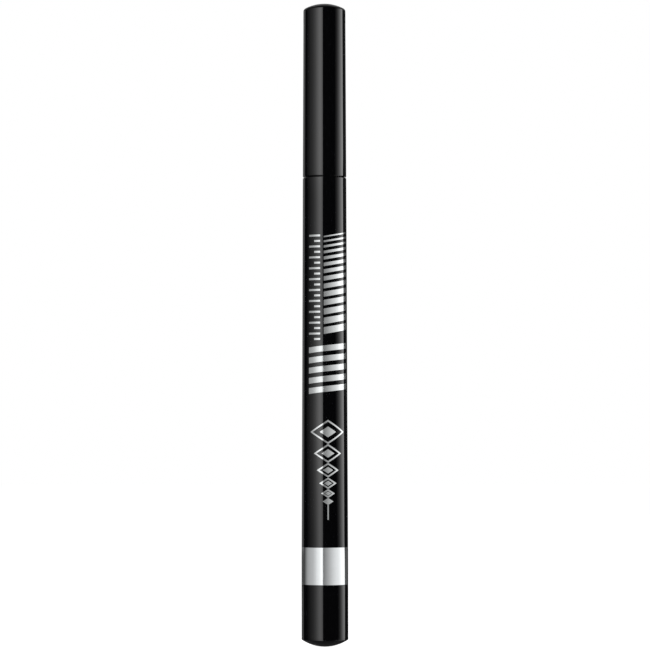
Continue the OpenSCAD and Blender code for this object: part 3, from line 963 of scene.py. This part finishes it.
@dataclass
class BrushTip:
    """The bristle bundle: a fused root, a full body and strands that draw together to a fine point."""

    body_r: float = 0.98
    root_len: float = 1.4
    straight: float = 0.9
    power: float = 1.7
    # Rings of points along the taper, distance between them on the root, and segments round the bundle
    rings: int = 60
    ring_step: float = 1.0
    turns: int = 264
    # Fine flutes that the strands make on the bundle, and radians that their waves turn by in a millimetre
    flutes: int = 44
    flute_depth: float = 0.022
    twist: float = 2.0
    # Loose outer strands, coarser than the real 0.03 mm ones so that they show
    strands: int = 320
    strand_r: float = 0.026
    strand_rings: int = 10
    strand_sides: int = 3
    # Spread of a strand's drift in radians, of its end before the tip, and of its beginning
    drift: float = 0.12
    end_spread: float = 0.9
    begin_span: tuple[float, float] = (-1.2, 2.0)
    # Share of a strand's radius that is sunk in the bundle, and share of its section lost at its end
    sunk: float = 0.2
    thinning: float = 0.9
    # Angle past which an edge is shaded sharp: more than between a strand's sides at a flute
    sharp: float = 60.0
    seed: int = 7

    def taper(self, height: np.ndarray, start: float, tip: float) -> np.ndarray:
        """Radius of the bundle: full up to the start, then one less a power of the share of the way to the tip.

        Args:
            height: Heights on the axis.
            start: Height where the taper begins.
            tip: Height of the point.

        Returns:
            Radii at those heights.
        """
        share = np.clip((height - start) / (tip - start), 0, 1)
        return self.body_r * (1 - share ** self.power)

    def bundle(self, low: float, tip: float, start: float, root_r: float) -> np.ndarray:
        """Grid of the bundle: the turned outline, whose radius waves round the axis once for each flute.

        Args:
            low: Height of the root's rear face.
            tip: Height of the point.
            start: Height where the taper begins.
            root_r: Radius of the root.

        Returns:
            Grid of points.
        """
        root_top = low + self.root_len
        heights = np.linspace(start, tip, self.rings)
        outline = refine(np.vstack([
            [(0, low), (root_r, low), (root_r, root_top), (self.body_r, root_top)],
            np.column_stack([self.taper(heights, start, tip), heights]),
        ]), step=self.ring_step)
        points = turned(outline, self.turns)
        phase = self.flutes * round_angles(self.turns)[:, None] + self.twist * outline[None, :, 1]
        wave = 1 - self.flute_depth * (0.5 - 0.5 * np.cos(phase))
        fluted = (outline[:, 1] > start)[None, :]
        points[..., :2] *= np.where(fluted, wave, 1)[..., None]
        return points

    def strand_grid(self, start: float, tip: float) -> list[Patch]:
        """Thin three-sided strands that lie on the bundle and follow its taper.

        Each strand keeps its angle, apart from a slow drift, and lies on the bundle's surface. Its own radius
        shrinks as the square root of what is left of its section, which it loses evenly.

        Args:
            start: Height where the taper begins.
            tip: Height of the point.

        Returns:
            One closed patch for each strand.
        """
        draw = np.random.default_rng(self.seed)
        angle = draw.uniform(0, 2 * math.pi, self.strands)[:, None]
        drift = draw.normal(0, self.drift, self.strands)[:, None]
        end = tip - np.abs(draw.normal(0, self.end_spread, self.strands))[:, None]
        begin = start + draw.uniform(*self.begin_span, self.strands)[:, None]
        share = np.linspace(0, 1, self.strand_rings)[None, :]
        height = begin + (end - begin) * share
        angle = angle + drift * share
        thick = self.strand_r * np.sqrt(1 - self.thinning * share)
        radius = self.taper(height, start, tip) - self.sunk * thick
        side = round_angles(self.strand_sides)
        out = thick[..., None] * np.cos(side)
        across = thick[..., None] * np.sin(side)
        r = radius[..., None] + out
        cos, sin = np.cos(angle)[..., None], np.sin(angle)[..., None]
        tubes = grid(r * cos - across * sin, r * sin + across * cos, height[..., None])
        return [Patch(tube, wrap_rows=False) for tube in close_ends(tubes)]

    def build(self, nozzle_top: float) -> bpy.types.Object:
        """Make the bundle with its strands as one piece.

        Args:
            nozzle_top: Height of the nozzle's mouth.

        Returns:
            The brush.
        """
        low, tip, root_r = span("brush_tip")
        start = nozzle_top + self.straight
        patches = [Patch(self.bundle(low, tip, start, root_r), wrap_columns=False)]
        patches += self.strand_grid(start, tip)
        piece = make_piece("bristle_tip", patches, Body.PEN, self.sharp)
        dress(piece, DARK_NYLON)
        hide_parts("brush_tip")
        return piece


@dataclass
class Cap:
    """The black cap: outside with its dome, two bores, snap and retaining beads, guide ribs and spring pin."""

    crown_r: float = 4.6
    dome: float = 9.0
    edge: float = 0.65
    lip: float = 0.22
    # How far the mouth hangs below the solid's, so that the seam shows as little light as the photograph's
    mouth_drop: float = 0.08
    bore_len: float = 7.9
    bead_rise: float = 0.1
    bead_at: float = 3.6
    bead_w: float = 0.8
    retain_w: float = 0.6
    cup_travel: float = 1.2
    ribs: int = 6
    rib_half: float = 0.25
    end_wall: float = 1.8
    pin_h: float = 1.2

    def build(self) -> bpy.types.Object:
        """Turn the section from the dome's apex down the outside, then up the bores to the spring pin.

        Returns:
            The cap.
        """
        mouth, top, mouth_r = span("cap_shell")
        edge_z = mouth - self.mouth_drop
        ceiling = top - self.end_wall
        _, cup_top, flange_r = span("inner_cap")
        bore_r, upper_r, retain_r = mouth_r - CAP_WALL, flange_r + CUP_RUN, flange_r - RETAIN_GRIP
        retain_top = cup_top - BOSS_H - FLANGE_T - self.cup_travel
        retain_z = retain_top - self.retain_w / 2
        upper_z = mouth + self.bore_len + bore_r - upper_r
        rib_low = upper_z + bore_r - upper_r
        outline = refine(np.vstack([
            crown(self.crown_r, top, self.dome, self.edge, 1)[::-1],
            arc((mouth_r - self.lip, edge_z + self.lip), self.lip, 0, -90),
            [(bore_r + LEAD, edge_z), (bore_r, edge_z + LEAD)],
            bead(bore_r, mouth + self.bead_at, -self.bead_rise, self.bead_w),
            [(bore_r, mouth + self.bore_len), (upper_r, upper_z)],
            [(upper_r, rib_low), (upper_r, rib_low + FIT)],
            bead(upper_r, retain_z, retain_r - upper_r, self.retain_w),
            [(upper_r, ceiling - LEAD), (upper_r - LEAD, ceiling)],
            [(SPRING_SEAT_R, ceiling), (SPRING_SEAT_R, ceiling - self.pin_h + LEAD)],
            [(SPRING_SEAT_R - LEAD, ceiling - self.pin_h), (0, ceiling - self.pin_h)],
        ]))
        points = turned(outline)
        on_wall = np.abs(outline[:, 0] - upper_r) < ON_WALL
        ribbed = on_wall & (outline[:, 1] > rib_low) & (outline[:, 1] < retain_z)
        rise = (upper_r - retain_r) * (off_lines(self.ribs, upper_r) < self.rib_half)
        points[..., :2] *= 1 - (rise[:, None] * ribbed[None, :] / upper_r)[..., None]
        piece = make_piece("cap_body", [Patch(points, wrap_columns=False)], Body.CAP)
        dress(piece, POLISHED_BLACK)
        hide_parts("cap_shell")
        return piece


@dataclass
class SealingCup:
    """The milky cup that closes over the nose: skirt with its sealing bead, flange and spring boss."""

    bead_rise: float = 0.07
    bead_w: float = 0.6
    end: float = 0.8

    def outer_r(self) -> float:
        """Give the skirt's outer radius, which clears the cap's retaining bead."""
        return span("inner_cap")[2] - RETAIN_GRIP - CUP_RUN

    def build(self) -> bpy.types.Object:
        """Turn the cup's section from its closed end, down the outside and up the inside.

        Returns:
            The cup.
        """
        mouth, top, flange_r = span("inner_cap")
        flange_top = top - BOSS_H
        flange_z = flange_top - FLANGE_T
        outer_r = self.outer_r()
        bore_r = outer_r - CUP_WALL
        hollow_r = SPRING_SEAT_R - self.end
        c = LEAD / 2
        outline = refine(np.vstack([
            [(0, top), (SPRING_SEAT_R - 2 * c, top)],
            [(SPRING_SEAT_R, top - 2 * c), (SPRING_SEAT_R, flange_top)],
            [(flange_r - c, flange_top), (flange_r, flange_top - c), (flange_r, flange_z + c)],
            [(flange_r - c, flange_z), (outer_r, flange_z), (outer_r, mouth + c)],
            [(outer_r - c, mouth), (bore_r + c, mouth), (bore_r, mouth + c)],
            bead(bore_r, mouth + self.bead_w, -self.bead_rise, self.bead_w),
            [(bore_r, flange_z - 2 * c - bore_r + hollow_r), (hollow_r, flange_z - 2 * c)],
            [(hollow_r, top - self.end), (0, top - self.end)],
        ]))
        piece = make_piece("sealing_cup_shell", [Patch(turned(outline), wrap_columns=False)], Body.CUP)
        dress(piece, MILKY_PLASTIC)
        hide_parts("inner_cap")
        return piece


@dataclass
class CapSpring:
    """The wire spring between the sealing cup's flange and the cap's closed end."""

    wire_r: float = 0.175
    turns: int = 5
    end_gap: float = 0.44
    rings_per_turn: int = 40
    sides: int = 14

    def build(self) -> bpy.types.Object:
        """Sweep the wire's circle along its helix.

        The height follows the number of turns in three straight stretches: a close turn at each end and open
        turns between them. The wire's circle stands upright, on the line from the axis.

        Returns:
            The spring, which stretches between the cap and the sealing cup.
        """
        low, high, outer_r = span("cap_spring")
        coil_r = outer_r - self.wire_r
        first, last = low + self.wire_r, high - self.wire_r
        close = 2 * self.wire_r + self.end_gap
        turn = np.linspace(0, self.turns + 2, (self.turns + 2) * self.rings_per_turn + 1)
        height = np.interp(turn, [0, 1, self.turns + 1, self.turns + 2],
                           [first, first + close, last - close, last])
        angle = (2 * math.pi * turn)[:, None]
        side = round_angles(self.sides)
        radius = coil_r + self.wire_r * np.cos(side)
        wire = polar(radius, angle, height[:, None] + self.wire_r * np.sin(side))
        piece = make_piece("cap_spring_wire", [Patch(close_ends(wire), wrap_rows=False)], None)
        dress(piece, POLISHED_STEEL)
        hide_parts("cap_spring")
        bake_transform(piece)
        return piece


@dataclass
class InkFeed:
    """The pieces inside the barrel, which keep their CAD shapes."""

    dressed: tuple[tuple[str, Finish], ...] = (
        ("collector", IVORY_PLASTIC),
        ("feed_rod", BONDED_FIBRE),
        ("brush_retainer", MILKY_PLASTIC),
        ("mixing_ball_a", POLISHED_STEEL),
        ("mixing_ball_b", POLISHED_STEEL),
    )

    def build(self) -> list[bpy.types.Object]:
        """Dress the CAD nodes.

        Returns:
            The dressed nodes.
        """
        for node, finish in self.dressed:
            dress(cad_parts[node], finish)
        return [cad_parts[node] for node, _ in self.dressed]


def stage_surface(name: str, points: np.ndarray, material: bpy.types.Material) -> bpy.types.Object:
    """Put an open grid of points into a studio surface, which isn't part of the pen.

    Args:
        name: Name of the surface.
        points: Grid of points in millimetres.
        material: Its material.

    Returns:
        The surface.
    """
    rows, columns = points.shape[:2]
    mesh = bpy.data.meshes.new(name)
    faces = grid_faces(rows, columns, False, False)
    mesh.from_pydata((points.reshape(-1, 3) * MM).tolist(), [], faces.tolist())
    mesh.materials.append(material)
    surface = bpy.data.objects.new(name, mesh)
    bpy.context.scene.collection.objects.link(surface)
    return surface


def disc(radius: float, height: float) -> np.ndarray:
    """Grid of a level disc: rays from the axis to its rim, at even angles.

    Args:
        radius: Radius of the disc.
        height: Height on the axis.

    Returns:
        Grid of points, whose faces look up.
    """
    angle = np.linspace(2 * math.pi, 0, DISC_POINTS)[:, None]
    return polar(np.array([0, radius]), angle, height)


def hide_from_camera(card: bpy.types.Object) -> None:
    """Let a light card be seen in reflections only, and cast no shadow."""
    card.visible_camera = False
    card.visible_shadow = False


@dataclass(frozen=True)
class Softbox:
    """A curved light card round the pen, whose glow varies along it and up it.

    Stops are pairs of azimuth in degrees, counted to the right from the camera's side, and radiance. Levels
    are rows of height and the share of its radiance that the card has there. Where its width changes too,
    the shares of the width to the left and to the right of its upright line stand between them.
    """

    name: str
    stops: tuple[tuple[float, float], ...]
    levels: tuple[tuple[float, ...], ...]
    # Azimuth of the line that stays upright where the width changes
    upright: float = 0.0
    radius: float = 420.0
    # Whether what lies behind the card shines through it
    clear: bool = False

    def build(self) -> bpy.types.Object:
        """Make the card: a strip of a cylinder, with its glow stored at its points.

        A point's azimuth lies from the upright line by its stop's own distance times the level's share of the
        width on that side, and its glow is the stop's radiance times the level's share.

        Returns:
            The card, which only light and reflections see.
        """
        at, glow = np.array(self.stops).T
        azimuth = np.unique(np.concatenate([at, np.linspace(at[0], at[-1], CARD_COLUMNS)]))
        rows = [row if len(row) > 2 else (row[0], 1.0, 1.0, row[1]) for row in self.levels]
        height, left, right, share = np.array(rows).T
        away = (azimuth - self.upright)[:, None]
        angle = np.radians(self.upright + away * np.where(away < 0, left, right) - 90)
        strength = np.interp(azimuth, at, glow)[:, None] * share
        material, tree = new_material(self.name)
        reading = add_node(tree, "ShaderNodeAttribute", {"attribute_name": "glow"})
        light = add_node(tree, "ShaderNodeEmission", links={"Strength": reading.outputs["Fac"]})
        surface = light.outputs["Emission"]
        if self.clear:
            gap = add_node(tree, "ShaderNodeBsdfTransparent")
            both = add_node(tree, "ShaderNodeAddShader", links={0: surface, 1: gap.outputs["BSDF"]})
            surface = both.outputs["Shader"]
        add_node(tree, "ShaderNodeOutputMaterial", links={"Surface": surface})
        card = stage_surface(self.name, polar(self.radius, angle, height), material)
        layer = card.data.attributes.new("glow", "FLOAT", "POINT")
        layer.data.foreach_set("value", strength.ravel().astype(np.float32))
        hide_from_camera(card)
        return card


@dataclass
class Studio:
    """Camera, light cards, floor and background."""

    # The camera stands a little under the pen's middle and looks slightly up
    distance: float = 610.0
    camera_z: float = 40.3
    aim_z: float = 69.7
    aim_x: float = 0.075
    roll: float = -0.05
    lens: float = 155.4
    sensor: float = 36.0
    # Nearest and farthest distance that it sees, in metres
    clip: tuple[float, float] = (0.01, 20.0)
    # Pale floor, which glows so that it reads as white
    floor_r: float = 4000.0
    floor_glow: float = 1.0
    floor_tone: str = "#dcdcdc"
    # Round light cards over the pen and under it, by radius, height and radiance
    overhead_card: tuple[float, float, float] = (440.0, CARD_HEAD, 0.06)
    under_card: tuple[float, float, float] = (140.0, -300.0, 0.05)
    # What the dark room sends back
    room_glow: float = 0.01
    softboxes: tuple[Softbox, ...] = (
        # Broad reflection left of the middle, brightest at its hard right edge
        Softbox("key_softbox",
                ((-112, 0.0), (-90, 0.2), (-66, 0.6), (-50, 1.24), (-35, 2.38), (-26, 3.02), (-19, 2.96),
                 (-13, 2.28), (-9.1, 1.85)),
                ((CARD_FOOT, 0.88, 0.88, 0.7), (15, 0.88, 0.88, 0.72), (57, 0.98, 0.98, 0.96),
                 (105, 0.94, 0.94, 0.88), (140, 0.93, 0.9, 0.83), (150, 1.0, 1.0, 1.0), (500, 1.0, 1.0, 0.9),
                 (CARD_HEAD, 1.0, 1.0, 0.05)),
                upright=-13),
        # Narrow reflection near the right side
        Softbox("rim_softbox",
                ((54, 0.0), (61, 0.14), (70, 0.44), (80, 1.1), (91, 2.15), (101, 2.95), (109, 3.15), (114, 2.9),
                 (116.2, 2.2)),
                ((CARD_FOOT, 0.775, 1.05, 0.72), (-14, 0.775, 1.05, 0.72), (8, 0.84, 0.95, 0.77),
                 (12, 0.85, 0.62, 0.78), (35, 0.92, 0.62, 0.85), (60, 1.0, 0.62, 1.0), (148, 1.0, 0.7, 1.05),
                 (153, 1.0, 1.0, 1.05), (205, 0.93, 1.0, 0.9), (290, 0.91, 1.0, 0.85), (400, 0.9, 1.0, 0.1),
                 (CARD_HEAD, 0.9, 1.0, 0.05)),
                upright=108),
        # Thin grey lines along both silhouettes
        Softbox("rear_left_fill", ((-180, 0.3), (-141, 0.38), (-136, 0.5), (-131, 0.5), (-127, 0.0)),
                ((CARD_FOOT, 0.12), (-80, 0.2), (-30, 0.72), (-7, 0.78), (-4, 0.35), (7, 0.35), (10, 0.82),
                 (60, 1.0), (220, 1.0))),
        Softbox("rear_right_fill", ((126, 0.05), (180, 0.05)),
                ((CARD_FOOT, 1.0), (-60, 1.0), (-30, 0.5), (30, 0.35), (65, 1.0), (220, 1.0))),
        # Dim sheen on the cap's dome
        Softbox("rear_top_card", ((160, 0.28), (200, 0.28)),
                ((235, 1.0), (480, 1.0), (510, 0.22), (CARD_HEAD, 0.2))),
        Softbox("left_top_card", ((-160, 0.28), (-112, 0.28)), ((235, 1.0), (CARD_HEAD, 0.2))),
        Softbox("right_top_card", ((116.2, 0.28), (160, 0.28)), ((235, 1.0), (CARD_HEAD, 0.2))),
    )
    # Card behind the pen, which the plug's dome doesn't see
    rear_windows: tuple[Softbox, ...] = (
        Softbox("rear_window",
                ((168, 0.0), (173, 0.7), (177, 1.6), (180, 1.8), (183, 1.6), (187, 0.7), (192, 0.0)),
                ((-500, 0.8), (-150, 1.0), (200, 1.0)), radius=410.0, clear=True),
    )
    # A second exposure's cards, which only the silver sees
    silver_fills: tuple[Softbox, ...] = (
        Softbox("silver_left_fill",
                ((-124, 0.1), (-112, 0.25), (-98, 0.65), (-84, 0.78), (-50, 0.62), (-40, 0.5), (-28, 0.05),
                 (-22, 0.05), (-15, 0.65), (-8.5, 0.8)),
                ((CARD_FOOT, 1.0), (15, 1.0), (57, 0.72), (500, 0.72)), radius=400.0, clear=True),
        Softbox("silver_right_fill",
                ((-8.5, 0.38), (18, 0.9), (45, 1.5), (62, 1.8), (76, 1.75), (88, 1.4), (101, 0.4), (112, 0.1),
                 (124, 0.15), (150, 0.15)),
                ((CARD_FOOT, 1.0), (15, 1.0), (57, 1.04), (500, 1.04)), radius=400.0, clear=True),
    )

    def camera(self) -> None:
        """Place the camera where the photograph was taken from."""
        data = bpy.data.cameras.new("camera")
        data.lens = self.lens
        data.sensor_width = self.sensor
        data.clip_start, data.clip_end = self.clip
        camera = bpy.data.objects.new("camera", data)
        place = Vector((0, -self.distance, self.camera_z)) * MM
        look = Vector((self.aim_x, 0, self.aim_z)) * MM - place
        camera.location = place
        camera.rotation_mode = "QUATERNION"
        turn = Quaternion((0, 0, 1), math.radians(self.roll))
        camera.rotation_quaternion = look.to_track_quat("-Z", "Y") @ turn
        bpy.context.scene.collection.objects.link(camera)
        bpy.context.scene.camera = camera

    def floor(self) -> None:
        """Lay the floor: diffuse and glowing from above, clear from below and in reflections."""
        material, tree = new_material("matt_white_floor")
        glow = add_node(tree, "ShaderNodeEmission", {"Strength": self.floor_glow})
        matt = add_node(tree, "ShaderNodeBsdfDiffuse", {"Color": srgb(self.floor_tone)})
        both = add_node(tree, "ShaderNodeAddShader",
                        links={0: glow.outputs["Emission"], 1: matt.outputs["BSDF"]})
        clear = add_node(tree, "ShaderNodeBsdfTransparent")
        side = add_node(tree, "ShaderNodeNewGeometry")
        shown = add_node(tree, "ShaderNodeMixShader", links={
            0: side.outputs["Backfacing"], 1: both.outputs["Shader"], 2: clear.outputs["BSDF"]})
        add_node(tree, "ShaderNodeOutputMaterial", links={"Surface": shown.outputs["Shader"]})
        floor = stage_surface("floor", disc(self.floor_r, 0), material)
        floor.visible_glossy = False
        floor.visible_shadow = False

    def discs(self) -> None:
        """Hang the light cards over the pen and under it."""
        cards = {"overhead_card": self.overhead_card, "under_card": self.under_card}
        for name, (radius, height, strength) in cards.items():
            material, tree = new_material(name)
            light = add_node(tree, "ShaderNodeEmission", {"Strength": strength})
            add_node(tree, "ShaderNodeOutputMaterial", links={"Surface": light.outputs["Emission"]})
            hide_from_camera(stage_surface(name, disc(radius, height), material))

    def background(self) -> None:
        """Make the room white to the camera and almost dark to everything else."""
        world = bpy.data.worlds.new("studio_room")
        world.use_nodes = True
        tree = world.node_tree
        tree.nodes.clear()
        path = add_node(tree, "ShaderNodeLightPath")
        dark = add_node(tree, "ShaderNodeBackground", {"Strength": self.room_glow})
        white = add_node(tree, "ShaderNodeBackground", {"Color": (1.0, 1.0, 1.0, 1.0), "Strength": 1.0})
        room = add_node(tree, "ShaderNodeMixShader", links={
            0: path.outputs["Is Camera Ray"], 1: dark.outputs["Background"], 2: white.outputs["Background"]})
        add_node(tree, "ShaderNodeOutputWorld", links={"Surface": room.outputs["Shader"]})
        bpy.context.scene.world = world

    def light_only(self, name: str, cards: tuple[Softbox, ...], pieces: list[bpy.types.Object]) -> None:
        """Add cards whose light falls on some pieces alone.

        Args:
            name: Name of the group of pieces.
            cards: The light cards.
            pieces: The pieces that they light.
        """
        lit = bpy.data.collections.new(name)
        for piece in pieces:
            lit.objects.link(piece)
        for card in cards:
            card.build().light_linking.receiver_collection = lit

    def build(self) -> None:
        """Set up the whole studio."""
        self.camera()
        for softbox in self.softboxes:
            softbox.build()
        self.discs()
        self.floor()
        self.background()
        bpy.context.scene.view_settings.view_transform = "Standard"
        LOG.info("studio: %d softboxes", len(self.softboxes))


def main() -> None:
    """Build the studio and the pen, from the tail to the cap."""
    logging.basicConfig(level=logging.INFO, format="%(name)s: %(message)s")
    studio = Studio()
    studio.build()
    barrel = Barrel()
    nose = Nose()
    TailPlug().build(barrel)
    silver = [SilverBand().build(barrel), FoilPrint().build(barrel)]
    others = [
        barrel.build(),
        nose.build(barrel),
        BrushTip().build(nose.front()),
        Cap().build(),
        SealingCup().build(),
        CapSpring().build(),
    ]
    studio.light_only("silver_pieces", studio.silver_fills, silver)
    studio.light_only("pieces_but_the_plug", studio.rear_windows, silver + others)
    for node in InkFeed().build():
        LOG.info("%s: carried over from the solids", node.name)


if __name__ == "__main__":
    main()
